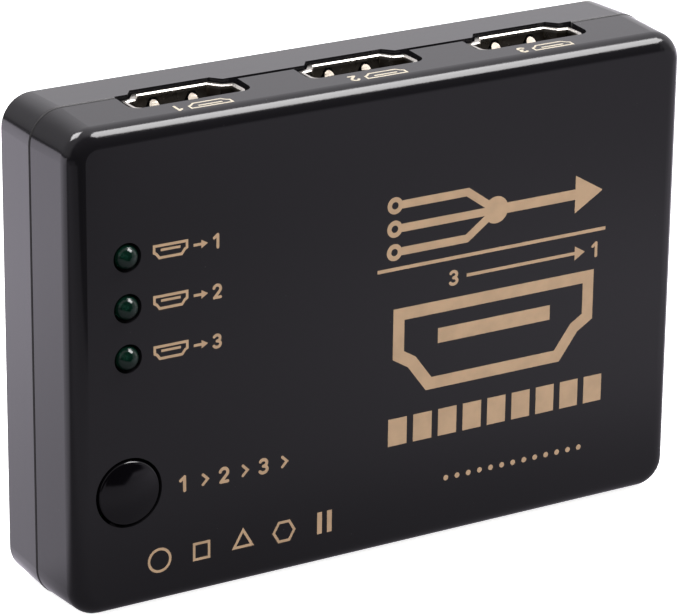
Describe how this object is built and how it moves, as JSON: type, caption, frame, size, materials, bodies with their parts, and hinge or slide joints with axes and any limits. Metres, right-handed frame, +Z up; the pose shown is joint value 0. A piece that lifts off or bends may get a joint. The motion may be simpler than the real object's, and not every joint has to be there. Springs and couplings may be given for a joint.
{
  "type": "video switch box",
  "caption": "Small glossy black box that passes one of its video inputs to its output, with a select button, status lights and sockets along its top and under side.",
  "frame": {"origin": "under the middle of the whole, on the surface it stands on", "axes": "+X to the right along the printed face, +Y from the face to the back, +Z up; the box stands on its long lower side as pictured"},
  "size_m": [0.087, 0.0178, 0.062],
  "materials": {
    "case_plastic": "smooth glossy black moulding",
    "button_plastic": "glossy black",
    "light_lens": "dark green tinted clear resin",
    "plated_steel": "bright nickel plate",
    "insulator_plastic": "fine matt black moulding",
    "gilt_contact": "thin gold flash",
    "tinned_metal": "dull tin plate",
    "screw_steel": "blackened steel",
    "board_laminate": "green solder resist",
    "chip_moulding": "fine matt epoxy",
    "can_aluminium": "bare drawn can",
    "ceramic": "fired ceramic",
    "resistor_body": "matt overglaze"
  },
  "bodies": {
    "case": {"front_shell": "case_plastic", "rear_shell": "case_plastic", "status_light_1": "light_lens", "status_light_2": "light_lens", "status_light_3": "light_lens", "input_socket_1_shell": "plated_steel", "input_socket_2_shell": "plated_steel", "input_socket_3_shell": "plated_steel", "output_socket_shell": "plated_steel", "tact_switch_cover": "plated_steel", "tact_switch_dome": "plated_steel", "power_jack_pin": "plated_steel", "input_socket_1_insulator": "insulator_plastic", "input_socket_2_insulator": "insulator_plastic", "input_socket_3_insulator": "insulator_plastic", "output_socket_insulator": "insulator_plastic", "tact_switch_base": "insulator_plastic", "power_jack_body": "insulator_plastic", "remote_jack_body": "insulator_plastic", "bulk_capacitor_base": "insulator_plastic", "input_socket_1_contacts": "gilt_contact", "input_socket_2_contacts": "gilt_contact", "input_socket_3_contacts": "gilt_contact", "output_socket_contacts": "gilt_contact", "tact_switch_legs": "tinned_metal", "status_light_leads": "tinned_metal", "power_jack_terminals": "tinned_metal", "remote_jack_contacts": "tinned_metal", "video_switch_chip_leads": "tinned_metal", "control_chip_leads": "tinned_metal", "voltage_regulator_leads": "tinned_metal", "case_screws": "screw_steel", "circuit_board": "board_laminate", "video_switch_chip": "chip_moulding", "control_chip": "chip_moulding", "voltage_regulator": "chip_moulding", "bulk_capacitor_can": "can_aluminium", "chip_capacitors": "ceramic", "chip_resistors": "resistor_body"},
    "select_button": {"select_button": "button_plastic"},
    "switch_plunger": {"tact_switch_plunger": "insulator_plastic"}
  },
  "joints": [
    {"name": "select_button_press", "type": "slide", "parent": "case", "child": "select_button", "axis": [0, 1, 0], "range_m": [0, 0.00025], "stiffness_N_per_m": 4000},
    {"name": "switch_plunger_press", "type": "slide", "parent": "case", "child": "switch_plunger", "axis": [0, 1, 0], "range_m": [0, 0.00025], "deforming": ["tact_switch_dome"]}
  ],
  "couplings": [
    {"joint": "switch_plunger_press", "follows": "select_button_press", "ratio": 1}
  ]
}
